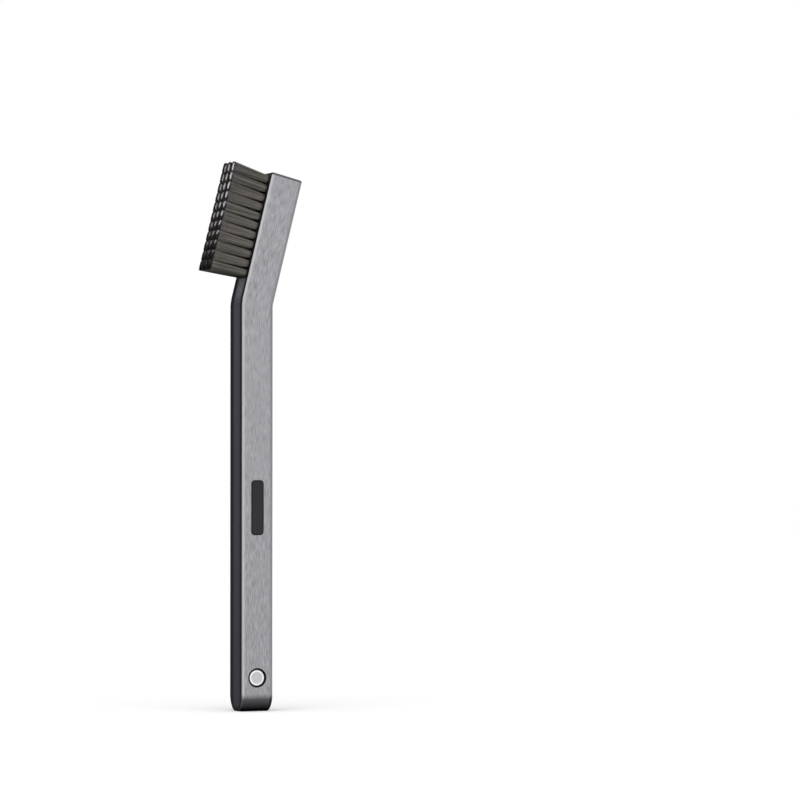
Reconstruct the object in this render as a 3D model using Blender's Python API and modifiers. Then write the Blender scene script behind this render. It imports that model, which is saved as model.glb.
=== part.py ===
"""Circuit board cleaning brush.

One bent metal bar is both handle and head. The head carries rows of bristle tufts, each glued into its own
blind hole, and a plain plate and a ringed disc are let into the front face of the handle.

Metres, +Z up. The origin is the middle of the flat foot, the front face looks along -Y, the head leans to +X
and the bristles point to -X.
"""
import math

import bmesh
import bpy
from mathutils import Matrix, Vector

# Bar: handle and head
BAR_WIDTH = 0.0100                   # left to right
BAR_THICKNESS = 0.0100               # front to back
BEND_HEIGHT = 0.1233                 # from the foot to where the centre lines of handle and head cross
BEND_ANGLE = math.radians(14.2)      # between those centre lines
BEND_RADIUS = 0.0100                 # of the centre line in the bend
HEAD_LENGTH = 0.0401                 # from that crossing to the end of the head
EDGE_WIDTH = 0.0003                  # the broken edges
FOOT_FLAT = 0.0036                   # front to back, what the nose leaves to stand on
NOSE_HEIGHT = 0.0050                 # where the round of the nose starts

# Holes for the tufts
END_MARGIN = 0.0023                  # from the end of the head to the first row
HEEL_MARGIN = 0.0080                 # kept free between the crossing and the last row
SIDE_WALL = 0.0009                   # between the outer holes and the front or back face
ROW_WALL = 0.00066                   # between the holes of neighbouring rows
COLUMN_WALL = 0.0002                 # the least wall between the holes of one row
HOLE_DIAMETER = 0.0023
HOLE_DEPTH = 0.0078                  # without the point that the drill leaves
DRILL_ANGLE = math.radians(118)      # of that point

# Tufts
ROOT_GAP = 0.0002                    # between the glued root and its hole
ROOT_SINK = 0.0004                   # the glue stays this far under the face
BRISTLE_LENGTH = 0.0126              # from the face to the trimmed tips
ROW_FAN = 0.00012                    # the tips' pitch is this much wider than the roots', along the head
COLUMN_FAN = 0.00005                 # and this much wider across it
TIP_GAP = 0.0001                     # between neighbouring tufts at the tips
BRISTLE_FLARE = 0.75                 # under 1, a tuft widens soonest near its root
STRANDS = 12                         # in a tuft
STRAND_DIAMETER = 0.00032            # round the corners of its three sides
STRAND_ROOT = 0.0003                 # how deep a strand goes into the glue

# Plate and disc in the front face
SEAT_GAP = 0.0001                    # round and under each inlaid piece
PLATE_WIDTH = 0.0038
PLATE_HEIGHT = 0.0164
PLATE_CORNER = 0.0010
PLATE_THICKNESS = 0.0004
PLATE_LEVEL = 0.0616                 # the plate's middle, above the foot
DISC_LEVEL = 0.0102                  # the disc's middle, above the foot
DISC_POCKET = 0.0059                 # diameter of its pocket
DISC_THICKNESS = 0.0006
DISC_SINK = 0.0005                   # the disc lies this far under the face
DISC_EDGE = 0.0001                   # the disc's broken edge
RING_WIDTH = 0.00035

# Facets
BEND_STEPS = 8
NOSE_STEPS = 9
CORNER_STEPS = 5
ROUND_SIDES = 48
HOLE_SIDES = 12
ROOT_SIDES = 12
STRAND_SIDES = 3

OVERCUT = 0.0005                     # a cutter stands this far out of the face it cuts
WELD = 1e-6                          # points nearer than this are one
SHARP = math.radians(40)             # an edge sharper than this is broken by a bevel
GOLDEN_ANGLE = math.pi * (3 - math.sqrt(5))
FRONT = -BAR_THICKNESS / 2
HOLE_RADIUS = HOLE_DIAMETER / 2
ROOT_RADIUS = HOLE_RADIUS - ROOT_GAP
STRAND_RADIUS = STRAND_DIAMETER / 2
STRAND_REACH = ROOT_RADIUS * math.cos(math.pi / ROOT_SIDES) - STRAND_RADIUS    # of the strands' centres

# The pattern of tufts follows the head: as many rows and columns as its walls and margins leave room for
ROW_PITCH = HOLE_DIAMETER + ROW_WALL
ROWS = int((HEAD_LENGTH - END_MARGIN - HEEL_MARGIN) / ROW_PITCH) + 1
COLUMN_SPAN = BAR_THICKNESS - 2 * SIDE_WALL - HOLE_DIAMETER
COLUMNS = int(COLUMN_SPAN / (HOLE_DIAMETER + COLUMN_WALL)) + 1
COLUMN_PITCH = COLUMN_SPAN / max(COLUMNS - 1, 1)
TIP_RADIUS = (min(ROW_PITCH + ROW_FAN, COLUMN_PITCH + COLUMN_FAN) - TIP_GAP) / 2


def clear_scene():
    for thing in list(bpy.data.objects):
        bpy.data.objects.remove(thing, do_unlink=True)


def new_collection(name):
    group = bpy.data.collections.new(name)
    bpy.context.scene.collection.children.link(group)
    return group


def principled(name, colour, roughness, metallic):
    """A plain material with the piece's own colour and gloss."""
    material = bpy.data.materials.new(name)
    material.use_nodes = True
    shader = material.node_tree.nodes["Principled BSDF"]
    shader.inputs["Base Color"].default_value = (*colour, 1)
    shader.inputs["Roughness"].default_value = roughness
    shader.inputs["Metallic"].default_value = metallic
    return material


def empty(name, matrix, group):
    """A frame of reference that pieces are placed in."""
    thing = bpy.data.objects.new(name, None)
    thing.matrix_world = matrix
    group.objects.link(thing)
    return thing


def place(name, mesh, group, parent=None, location=(0, 0, 0), rotation=(0, 0, 0), material=None):
    thing = bpy.data.objects.new(name, mesh)
    thing.parent = parent
    thing.location = location
    thing.rotation_euler = rotation
    if material:
        mesh.materials.append(material)
    group.objects.link(thing)
    return thing


def as_cutter(thing):
    thing.hide_render = True
    thing.display_type = "WIRE"
    return thing


def boolean(target, tool, operation):
    modifier = target.modifiers.new(tool.name, "BOOLEAN")
    modifier.operation = operation
    modifier.object = tool


def break_edges(thing, width):
    """A plain chamfer along the sharp edges that the piece has so far."""
    bevel = thing.modifiers.new("broken_edges", "BEVEL")
    bevel.width = width
    bevel.segments = 1
    bevel.limit_method = "ANGLE"
    bevel.angle_limit = SHARP


def mesh_from(bm, name):
    """Turns the faces outwards and hands the mesh over."""
    bmesh.ops.recalc_face_normals(bm, faces=bm.faces)
    mesh = bpy.data.meshes.new(name)
    bm.to_mesh(mesh)
    bm.free()
    return mesh


def plate_from_outline(name, outline, depth):
    """A flat plate: the outline in X and Y as a filled 2D curve, half of depth thick to either side of it."""
    curve = bpy.data.curves.new(name, "CURVE")
    curve.dimensions = "2D"
    curve.fill_mode = "BOTH"
    curve.extrude = depth / 2
    spline = curve.splines.new("POLY")
    spline.points.add(len(outline) - 1)
    for point, (x, y) in zip(spline.points, outline):
        point.co = (x, y, 0, 1)
    spline.use_cyclic_u = True
    drawn = bpy.data.objects.new(name, curve)
    bpy.context.scene.collection.objects.link(drawn)
    bpy.context.view_layer.update()
    mesh = bpy.data.meshes.new_from_object(drawn.evaluated_get(bpy.context.evaluated_depsgraph_get()))
    bpy.data.objects.remove(drawn, do_unlink=True)
    bm = bmesh.new()
    bm.from_mesh(mesh)
    bpy.data.meshes.remove(mesh)
    bmesh.ops.remove_doubles(bm, verts=bm.verts, dist=WELD)
    bmesh.ops.dissolve_limit(bm, angle_limit=math.radians(0.1), verts=bm.verts, edges=bm.edges)
    return mesh_from(bm, name)


def add_rod(bm, sides, stations, turn=0.0, frame=Matrix()):
    """Adds one closed rod: a capped ring at the first station, extruded through the others.

    A station is (centre, radius). A last radius of zero ends the rod in a point.
    """
    centre, radius = stations[0]
    start = frame @ Matrix.Translation(centre) @ Matrix.Rotation(turn, 4, "Z")
    ring = bmesh.ops.create_circle(bm, cap_ends=True, segments=sides, radius=radius, matrix=start)
    face = foot = ring["verts"][0].link_faces[0]
    for next_centre, next_radius in stations[1:]:
        grown = bmesh.ops.extrude_face_region(bm, geom=[face])["geom"]
        corners = [item for item in grown if isinstance(item, bmesh.types.BMVert)]
        if face is not foot:
            bmesh.ops.delete(bm, geom=[face], context="FACES_ONLY")
        face = next(item for item in grown if isinstance(item, bmesh.types.BMFace))
        bmesh.ops.translate(bm, verts=corners, vec=frame.to_3x3() @ (next_centre - centre))
        middle = frame @ next_centre
        if next_radius == 0:
            bmesh.ops.pointmerge(bm, verts=corners, merge_co=middle)
            break
        growth = next_radius / radius
        bmesh.ops.scale(bm, verts=corners, vec=(growth,) * 3, space=Matrix.Translation(-middle))
        centre, radius = next_centre, next_radius


def round_plate(name, radius, top, bottom):
    bm = bmesh.new()
    add_rod(bm, ROUND_SIDES, [(Vector((0, 0, top)), radius), (Vector((0, 0, bottom)), radius)])
    return mesh_from(bm, name)


def arc(centre, radius, start, end, steps):
    """Points on an arc, both ends among them, from the start angle to the end angle."""
    angles = [start + (end - start) * step / steps for step in range(steps + 1)]
    return [(centre[0] + radius * math.cos(a), centre[1] + radius * math.sin(a)) for a in angles]


def bar_outline():
    """The bar from the front: up its left side, round the bend, over the head and down its right side."""
    half = BAR_WIDTH / 2
    centre = (BEND_RADIUS, BEND_HEIGHT - BEND_RADIUS * math.tan(BEND_ANGLE / 2))
    bend = math.pi - BEND_ANGLE
    left = arc(centre, BEND_RADIUS + half, math.pi, bend, BEND_STEPS)
    right = arc(centre, BEND_RADIUS - half, bend, math.pi, BEND_STEPS)
    along = Vector((math.sin(BEND_ANGLE), math.cos(BEND_ANGLE)))
    across = Vector((math.cos(BEND_ANGLE), -math.sin(BEND_ANGLE)))
    end = Vector((0, BEND_HEIGHT)) + HEAD_LENGTH * along
    return [(-half, 0), *left, tuple(end - half * across), tuple(end + half * across), *right, (half, 0)]


def nose_outline():
    """What is cut off the front of the foot, in Y and Z: outside an arc that starts flush with the face.

    The arc drops by NOSE_HEIGHT while it runs in by the depth of the nose, which gives its radius.
    """
    depth = (BAR_THICKNESS - FOOT_FLAT) / 2
    radius = (NOSE_HEIGHT**2 + depth**2) / (2 * depth)
    centre = (FRONT + radius, NOSE_HEIGHT)
    sweep = math.atan2(NOSE_HEIGHT, radius - depth)
    outside = FRONT - OVERCUT
    curve = arc(centre, radius, math.pi, math.pi + sweep, NOSE_STEPS)
    return [*curve, (curve[-1][0], -OVERCUT), (outside, -OVERCUT), (outside, NOSE_HEIGHT)]


def rounded_rectangle(width, height, corner):
    """A rectangle about the origin with a quarter circle at each corner."""
    points = []
    for index, (side, end) in enumerate(((1, 1), (-1, 1), (-1, -1), (1, -1))):
        centre = (side * (width / 2 - corner), end * (height / 2 - corner))
        start = index * math.pi / 2
        points += arc(centre, corner, start, start + math.pi / 2, CORNER_STEPS)
    return points


def tuft_places():
    """Each tuft's row and column, counted from 1, its steps from the block's middle, and its root's place."""
    for row in range(ROWS):
        for column in range(COLUMNS):
            steps = ((ROWS - 1) / 2 - row, column - (COLUMNS - 1) / 2)
            along = HEAD_LENGTH - END_MARGIN - row * ROW_PITCH
            yield row + 1, column + 1, steps, Vector((-BAR_WIDTH / 2, steps[1] * COLUMN_PITCH, along))


def add_handle_bar(parts, cutters, head_frame, front_frame):
    """The bent bar, with its nose, its broken edges, the holes of the head and two shallow pockets."""
    metal = principled("satin_aluminium", (0.36, 0.36, 0.38), 0.35, 1.0)
    mesh = plate_from_outline("handle_bar", bar_outline(), BAR_THICKNESS)
    bar = place("handle_bar", mesh, parts, rotation=(math.pi / 2, 0, 0), material=metal)

    nose_mesh = plate_from_outline("nose_cut", nose_outline(), BAR_WIDTH + 2 * OVERCUT)
    upright = (math.pi / 2, 0, math.pi / 2)
    nose = as_cutter(place("nose_cut", nose_mesh, cutters, rotation=upright))
    mirror = nose.modifiers.new("back_too", "MIRROR")
    mirror.merge_threshold = WELD
    boolean(bar, nose, "DIFFERENCE")

    break_edges(bar, EDGE_WIDTH)
    boolean(bar, add_hole_cutter(cutters, head_frame), "DIFFERENCE")
    boolean(bar, add_plate_pocket(cutters, front_frame), "DIFFERENCE")
    boolean(bar, add_disc_pocket(cutters, front_frame), "DIFFERENCE")


def add_hole_cutter(cutters, head_frame):
    """One drill for each tuft: a cylinder with a point, from outside the face to the bottom of the hole."""
    point = HOLE_RADIUS / math.tan(DRILL_ANGLE / 2)
    stations = [(Vector((0, 0, OVERCUT)), HOLE_RADIUS), (Vector((0, 0, -HOLE_DEPTH)), HOLE_RADIUS),
                (Vector((0, 0, -HOLE_DEPTH - point)), 0)]
    bm = bmesh.new()
    for _, _, _, root in tuft_places():
        frame = Matrix.Translation(root) @ Matrix.Rotation(-math.pi / 2, 4, "Y")
        add_rod(bm, HOLE_SIDES, stations, frame=frame)
    return as_cutter(place("tuft_holes", mesh_from(bm, "tuft_holes"), cutters, head_frame))


def add_plate_pocket(cutters, front_frame):
    wider = 2 * SEAT_GAP
    outline = rounded_rectangle(PLATE_WIDTH + wider, PLATE_HEIGHT + wider, PLATE_CORNER + SEAT_GAP)
    deep = PLATE_THICKNESS + SEAT_GAP
    mesh = plate_from_outline("plate_pocket", outline, deep + OVERCUT)
    middle = (0, PLATE_LEVEL, (OVERCUT - deep) / 2)
    return as_cutter(place("plate_pocket", mesh, cutters, front_frame, middle))


def add_disc_pocket(cutters, front_frame):
    deep = DISC_SINK + DISC_THICKNESS + SEAT_GAP
    mesh = round_plate("disc_pocket", DISC_POCKET / 2, OVERCUT, -deep)
    return as_cutter(place("disc_pocket", mesh, cutters, front_frame, (0, DISC_LEVEL, 0)))


def strand_layout():
    """Where the strands stand in the glue: on a sunflower spiral, at equal shares of its area."""
    for index in range(STRANDS):
        distance = STRAND_REACH * math.sqrt((index + 0.5) / STRANDS)
        angle = index * GOLDEN_ANGLE
        yield Vector((distance * math.cos(angle), distance * math.sin(angle), 0)), angle


def strand_centres(foot, fan):
    """A strand's centre at the glue, half way and at the tip.

    At each height all strands of a tuft are the same picture, only wider and moved aside, so none can cross.
    """
    widening = (TIP_RADIUS - STRAND_RADIUS) / STRAND_REACH - 1
    length = BRISTLE_LENGTH + ROOT_SINK
    centres = [foot - Vector((0, 0, ROOT_SINK + STRAND_ROOT))]
    for share in (0.5, 1.0):
        out = foot * (1 + widening * share**BRISTLE_FLARE) + fan * share
        centres.append(out + Vector((0, 0, share * length - ROOT_SINK)))
    return centres


def add_tuft(parts, cutters, head_frame, fibre, row, column, steps, root):
    """One tuft: the glued root that fills its hole, and the strands that fan out of it."""
    name = f"tuft_r{row:02d}_c{column}"
    turn = (0, -math.pi / 2, 0)
    bm = bmesh.new()
    add_rod(bm, ROOT_SIDES, [(Vector((0, 0, -ROOT_SINK)), ROOT_RADIUS),
                             (Vector((0, 0, ROOT_GAP - HOLE_DEPTH)), ROOT_RADIUS)])
    tuft = place(name, mesh_from(bm, name), parts, head_frame, root, turn, fibre)

    fan = Vector((steps[0] * ROW_FAN, steps[1] * COLUMN_FAN, 0))
    bm = bmesh.new()
    for foot, angle in strand_layout():
        stations = [(centre, STRAND_RADIUS) for centre in strand_centres(foot, fan)]
        add_rod(bm, STRAND_SIDES, stations, angle)
    strands = place(name + "_strands", mesh_from(bm, name + "_strands"), cutters, head_frame, root, turn)
    boolean(tuft, as_cutter(strands), "UNION")


def add_badge_plate(parts, front_frame):
    dark = principled("dark_plate", (0.012, 0.012, 0.014), 0.45, 0.0)
    outline = rounded_rectangle(PLATE_WIDTH, PLATE_HEIGHT, PLATE_CORNER)
    mesh = plate_from_outline("badge_plate", outline, PLATE_THICKNESS)
    place("badge_plate", mesh, parts, front_frame, (0, PLATE_LEVEL, -PLATE_THICKNESS / 2), material=dark)


def add_marker(parts, front_frame):
    """A dark ring and the pale disc inside it, both under the face in one round pocket."""
    ring_outside = DISC_POCKET / 2 - SEAT_GAP
    ring_inside = ring_outside - RING_WIDTH
    top, bottom = -DISC_SINK, -DISC_SINK - DISC_THICKNESS
    profile = bmesh.new()
    corners = [profile.verts.new(co) for co in ((ring_outside, 0, top), (ring_outside, 0, bottom),
                                                (ring_inside, 0, bottom), (ring_inside, 0, top))]
    for start, end in zip(corners, corners[1:] + corners[:1]):
        profile.edges.new((start, end))
    mesh = bpy.data.meshes.new("marker_ring")
    profile.to_mesh(mesh)
    profile.free()
    dark = principled("dark_ring", (0.015, 0.015, 0.017), 0.4, 0.0)
    ring = place("marker_ring", mesh, parts, front_frame, (0, DISC_LEVEL, 0), material=dark)
    turned = ring.modifiers.new("turned", "SCREW")
    turned.steps = turned.render_steps = ROUND_SIDES
    turned.use_merge_vertices = True
    turned.merge_threshold = WELD

    radius = ring_inside - SEAT_GAP
    mesh = round_plate("marker_disc", radius, top, bottom)
    pale = principled("pale_disc", (0.58, 0.58, 0.59), 0.4, 0.6)
    disc = place("marker_disc", mesh, parts, front_frame, (0, DISC_LEVEL, 0), material=pale)
    break_edges(disc, DISC_EDGE)
    disc.data.shade_smooth()
    disc.data.set_sharp_from_angle(angle=SHARP)


def report_strands():
    """Prints how many strands there are, and the least gap between two of one tuft at both their ends."""
    feet = [foot for foot, _ in strand_layout()]
    for place_name, index in (("at the glue", 0), ("at the tips", -1)):
        ends = [strand_centres(foot, Vector())[index] for foot in feet]
        least = min((a - b).length for number, a in enumerate(ends) for b in ends[number + 1:])
        print(f"least gap between strands {place_name}: {1000 * (least - STRAND_DIAMETER):.3f} mm")
    print(f"{ROWS} rows of {COLUMNS} tufts, {ROWS * COLUMNS * STRANDS} strands")


def main():
    clear_scene()
    parts = new_collection("circuit_board_brush")
    cutters = new_collection("cutters")
    bend = Matrix.Translation((0, 0, BEND_HEIGHT)) @ Matrix.Rotation(BEND_ANGLE, 4, "Y")
    head_frame = empty("head_frame", bend, parts)
    face = Matrix.Translation((0, FRONT, 0)) @ Matrix.Rotation(math.pi / 2, 4, "X")
    front_frame = empty("front_frame", face, parts)

    add_handle_bar(parts, cutters, head_frame, front_frame)
    fibre = principled("bristle_fibre", (0.080, 0.074, 0.064), 0.5, 0.0)
    for row, column, steps, root in tuft_places():
        add_tuft(parts, cutters, head_frame, fibre, row, column, steps, root)
    add_badge_plate(parts, front_frame)
    add_marker(parts, front_frame)
    report_strands()


main()
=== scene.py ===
# %% [markdown]
# The brush was built as solids first. This lesson dresses it: each solid is loaded where it
# stands, and finer surfaces take its place. Everything is in metres, the foot stands on Z = 0, the front
# looks along -Y, and the bristles point to -X. The finished brush has to stay inside the loaded box.

# %% Load the frame
import math
from collections import namedtuple

import bmesh
import bpy
import numpy as np
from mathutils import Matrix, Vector


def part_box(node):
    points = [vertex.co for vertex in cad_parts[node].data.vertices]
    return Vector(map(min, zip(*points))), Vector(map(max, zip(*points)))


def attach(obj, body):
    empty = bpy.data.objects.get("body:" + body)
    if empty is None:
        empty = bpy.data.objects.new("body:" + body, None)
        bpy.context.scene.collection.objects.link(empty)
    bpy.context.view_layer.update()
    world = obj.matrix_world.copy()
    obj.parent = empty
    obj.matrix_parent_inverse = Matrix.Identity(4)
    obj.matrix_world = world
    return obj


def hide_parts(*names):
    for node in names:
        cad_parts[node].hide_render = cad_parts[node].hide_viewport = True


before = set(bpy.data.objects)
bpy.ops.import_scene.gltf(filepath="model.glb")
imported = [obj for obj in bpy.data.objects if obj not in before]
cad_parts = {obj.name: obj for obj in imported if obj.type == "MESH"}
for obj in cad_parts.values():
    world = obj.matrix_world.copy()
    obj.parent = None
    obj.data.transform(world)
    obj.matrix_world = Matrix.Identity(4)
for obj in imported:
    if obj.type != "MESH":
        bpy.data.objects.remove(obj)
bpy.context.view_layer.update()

# %% [markdown]
# The camera comes first, so that each piece can be judged from where the photograph was taken. Its place
# was found by fitting the edges of the bar: a long lens, to the left of the front, and almost level.

# %% The camera
CAMERA_PLACE = Vector((-0.42532, -1.04064, 0.07495))
CAMERA_YAW = math.radians(24.531)  # turned from +Y towards +X
CAMERA_PITCH = math.radians(0.984)  # above the horizon
CAMERA_LENS = 166.469  # millimetres, as is the sensor's width
CAMERA_SENSOR = 36
CAMERA_NEAREST = 0.05  # nothing closer is drawn


def new_object(name, data):
    made = bpy.data.objects.new(name, data)
    bpy.context.scene.collection.objects.link(made)
    return made


def direction(turn, rise, forward=1):
    """One unit along Y, forward or back, turned towards +X and raised."""
    level = math.cos(rise)
    return Vector((math.sin(turn) * level, forward * math.cos(turn) * level, math.sin(rise)))


def add_camera():
    data = bpy.data.cameras.new("camera")
    data.lens = CAMERA_LENS
    data.sensor_width = CAMERA_SENSOR
    data.clip_start = CAMERA_NEAREST
    camera = new_object("camera", data)
    camera.location = CAMERA_PLACE
    camera.rotation_euler = SIGHT.to_track_quat("-Z", "Y").to_euler()
    bpy.context.scene.camera = camera


SIGHT = direction(CAMERA_YAW, CAMERA_PITCH)
add_camera()
bpy.context.scene.view_settings.view_transform = "Standard"
print("camera looks along", tuple(round(v, 3) for v in SIGHT))

# %% [markdown]
# The bar is about 10 mm square and bends by 14 degrees below the head. Its width and thickness are
# measured on the solids. The bend, the nose and the holes repeat the design's own sizes, because a box
# can't tell them.

# %% Sizes of the bar
MM = 1000.0  # millimetres in a metre
BAR_LOW, BAR_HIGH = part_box("handle_bar")
HALF_WIDTH = -BAR_LOW.x
HALF_DEPTH = BAR_HIGH.y
BEND_HEIGHT = 0.1233  # where the centre lines of handle and head cross
BEND_ANGLE = math.radians(14.2)
BEND_RADIUS = 0.01
HEAD_LENGTH = 0.0401  # from that crossing to the end of the head
EDGE = 0.0003  # width of the broken edges
FOOT_FLAT = 0.0036
NOSE_HEIGHT = 0.005
BEND_SHIFT = BEND_RADIUS * math.tan(BEND_ANGLE / 2)
BEND_START = BEND_HEIGHT - BEND_SHIFT  # along the centre line
BEND_END = BEND_START + BEND_RADIUS * BEND_ANGLE
BAR_LENGTH = BEND_END + HEAD_LENGTH - BEND_SHIFT
print(f"bar: {2 * MM * HALF_WIDTH:.1f} x {2 * MM * HALF_DEPTH:.1f} x {MM * BAR_LENGTH:.1f} mm")

# %% [markdown]
# A bent bar is easiest to describe along its own centre line: a height along it, a step across and a depth
# through it. One function carries any such point into the room, so the leaning head is as simple as the
# upright handle.

# %% From the bar's own measures into the room


def on_bar(along, across, depth):
    """Points in the room for a height along the bar, a step to its right and a place front to back.

    The centre line is straight, then an arc to the right, then straight again. The lean grows evenly over
    the arc, and the step to the right is square to the centre line.
    """
    lean = np.clip((along - BEND_START) / BEND_RADIUS, 0, BEND_ANGLE)
    past = np.maximum(along - BEND_END, 0)
    x = BEND_RADIUS * (1 - np.cos(lean)) + past * np.sin(lean)
    z = np.minimum(along, BEND_START) + BEND_RADIUS * np.sin(lean) + past * np.cos(lean)
    return np.stack(np.broadcast_arrays(x + across * np.cos(lean), depth, z - across * np.sin(lean)), -1)


print("end of the head:", np.round(on_bar(np.array(BAR_LENGTH), 0.0, 0.0), 4))

# %% [markdown]
# Every new piece is an array of points and rows of point numbers. Whole arrays go into a mesh quickly,
# even for hundreds of thousands of faces. Where the parts of a piece meet, their points are welded, so it
# is closed.

# %% Meshes from arrays
WELD = 1e-6  # points closer than this become one


def mesh_from(name, points, faces, uv=None, kinds=None, weld=True):
    """One mesh. faces is a list of arrays, with the point numbers of one face in each row."""
    sides = np.concatenate([np.full(len(group), group.shape[1]) for group in faces])
    corners = np.concatenate([group.ravel() for group in faces])
    mesh = bpy.data.meshes.new(name)
    mesh.vertices.add(len(points))
    mesh.vertices.foreach_set("co", points.astype(np.float32).ravel())
    mesh.loops.add(len(corners))
    mesh.loops.foreach_set("vertex_index", corners.astype(np.int32))
    mesh.polygons.add(len(sides))
    mesh.polygons.foreach_set("loop_start", (np.cumsum(sides) - sides).astype(np.int32))
    if uv is not None:
        mesh.uv_layers.new(name="bar_map").data.foreach_set("uv", uv.astype(np.float32).ravel())
    if kinds is not None:
        mesh.polygons.foreach_set("material_index", kinds.astype(np.int32))
    mesh.update(calc_edges=True)
    if weld:
        shell = bmesh.new()
        shell.from_mesh(mesh)
        bmesh.ops.remove_doubles(shell, verts=shell.verts, dist=WELD)
        bmesh.ops.recalc_face_normals(shell, faces=shell.faces)
        shell.to_mesh(mesh)
        shell.free()
    mesh.shade_smooth()
    return mesh


def add_piece(mesh, slot, *nodes):
    """Puts a finished mesh on the brush, in place of the named solids."""
    piece = new_object(mesh.name, mesh)
    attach(piece, "root")
    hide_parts(*nodes)
    return piece


def strip(first, second):
    """Quads between two closed rings of point numbers or places."""
    return np.stack((first, np.roll(first, -1, 0), np.roll(second, -1, 0), second), 1)


def strips(rings):
    """Quads between each closed ring and the next."""
    return [strip(one, two) for one, two in zip(rings, rings[1:])]


def circle(sides, start=0.0):
    """A flat circle of radius 1: cosine, sine and 0 of evenly spaced turns."""
    turn = 2 * math.pi * (np.arange(sides) + start) / sides
    return np.stack((np.cos(turn), np.sin(turn), 0 * turn), -1)


# %% [markdown]
# The bar's long edges and those of its ends are cut off at 45 degrees, which catches the light. A tiny
# extra step beside each cut keeps the wide faces flat in the shading, and softens the cut's own edges, as
# on sanded metal.

# %% Lines around the bar
SOFT = 0.00005  # the extra step beside each cut
PATCH_HALF = 0.0034  # half width of the front's patches
CORNER_LINES = 4  # over half a corner of the plate's pocket
PLATE_LINES = 2, 4  # over its straight parts, across and along
PLATE_LOW, PLATE_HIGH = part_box("badge_plate")
SEAT_GAP = 0.0001  # round and under each inlaid piece
PLATE_CORNER = 0.001
PLATE_HALF = np.array((PLATE_HIGH.x - PLATE_LOW.x, PLATE_HIGH.z - PLATE_LOW.z)) / 2
PLATE_LEVEL = (PLATE_HIGH.z + PLATE_LOW.z) / 2
PLATE_DEPTH = PLATE_HIGH.y - PLATE_LOW.y
PLATE_STRAIGHT = PLATE_HALF - PLATE_CORNER

HOLE_RADIUS = 0.00115
ROW_PITCH = 0.00296
ROWS, COLUMNS = 11, 3
LAST_ROW, MIDDLE_COLUMN = ROWS - 1, (COLUMNS - 1) / 2
COLUMN_PITCH = 0.00295
CELL_LINES = 8  # lines across the cell of one hole
END_MARGIN = 0.0023  # from the end of the head to the first row


def steps_between(*marks):
    """Evenly spaced values. marks are value, steps, value, steps, and so on to a last value."""
    stretches = zip(marks[:-1:2], marks[2::2], marks[1::2])
    runs = [np.linspace(start, stop, steps, endpoint=False) for start, stop, steps in stretches]
    return np.concatenate((*runs, marks[-1:]))


FACE_HALF = HALF_WIDTH - EDGE  # half widths of the flats
SIDE_HALF = HALF_DEPTH - EDGE
PLAIN = np.array((-1, -1, 1, 1)) + np.array((0, 1, -1, 0)) * SOFT / FACE_HALF
FRONT = steps_between(-FACE_HALF, 1, SOFT - FACE_HALF, 1, -PATCH_HALF, CORNER_LINES,
                      -PLATE_STRAIGHT[0], PLATE_LINES[0], PLATE_STRAIGHT[0], CORNER_LINES, PATCH_HALF, 1,
                      FACE_HALF - SOFT, 1, FACE_HALF) / FACE_HALF
SIDE = steps_between(-SIDE_HALF, 1, SOFT - SIDE_HALF, CELL_LINES, -COLUMN_PITCH / 2, CELL_LINES,
                     COLUMN_PITCH / 2, CELL_LINES, SIDE_HALF - SOFT, 1, SIDE_HALF) / SIDE_HALF
LINES = {"front": FRONT, "right": PLAIN, "back": PLAIN, "left": SIDE}
CUT_SOFT = np.array((0.15, 0.85))  # shares of its width where a cut's flat starts and ends
CUT_FIELDS = len(CUT_SOFT) + 1  # fields from one face to the next


def ring_around(half_width, half_depth, cut_depth):
    """Across and depth of the lines around the bar, an array for each, one row a height.

    The faces follow in the order of LINES, with a slanting cut between them. A face's lines keep their
    shares of it at every height.
    """
    w, d, c = (np.atleast_1d(value)[:, None] for value in (half_width, half_depth, cut_depth))
    front, right, back, left = LINES.values()
    faces = [((w - EDGE) * front, 0 * front - d), (0 * right + w, (d - c) * right),
             ((EDGE - w) * back, 0 * back + d), (0 * left - w, (c - d) * left)]
    across, depth = [], []
    for face, next_face in zip(faces, faces[1:] + faces[:1]):
        for made, here, there in zip((across, depth), face, next_face):
            made += [here, here[:, -1:] + (there[:, :1] - here[:, -1:]) * CUT_SOFT]
    return np.concatenate(across, 1), np.concatenate(depth, 1)


FIRST_LINE = {}
line_count = 0
for face_name, lines in LINES.items():
    FIRST_LINE[face_name] = line_count
    line_count += len(lines) + len(CUT_SOFT)
print("lines around the bar:", line_count)

# %% [markdown]
# The heights follow what happens on the bar: close together on the round nose, in the bend, at the pockets
# and holes, and nowhere else. The nose is an arc that starts flush with the face and runs in to the flat
# foot.

# %% Heights along the bar
NOSE_STEPS = 20
BEND_STEPS = 32
NOSE_DEPTH = HALF_DEPTH - FOOT_FLAT / 2
NOSE_RADIUS = (NOSE_HEIGHT**2 + NOSE_DEPTH**2) / (2 * NOSE_DEPTH)
NOSE_SWEEP = math.atan2(NOSE_HEIGHT, NOSE_RADIUS - NOSE_DEPTH)
DISC_LOW, DISC_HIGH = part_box("marker_disc")
DISC_LEVEL = (DISC_HIGH.z + DISC_LOW.z) / 2
DISC_LINES = 2 * CORNER_LINES + PLATE_LINES[0]
PLATE_ROOM = 0.001  # of the face above and below the plate's pocket
PLATE_REACH = PLATE_HALF[1] + SEAT_GAP + PLATE_ROOM
END_DARK = 0.0007  # how far the end's dark finish runs over its edges
ROW_LEVELS = BAR_LENGTH - END_MARGIN - ROW_PITCH * np.arange(ROWS)

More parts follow.
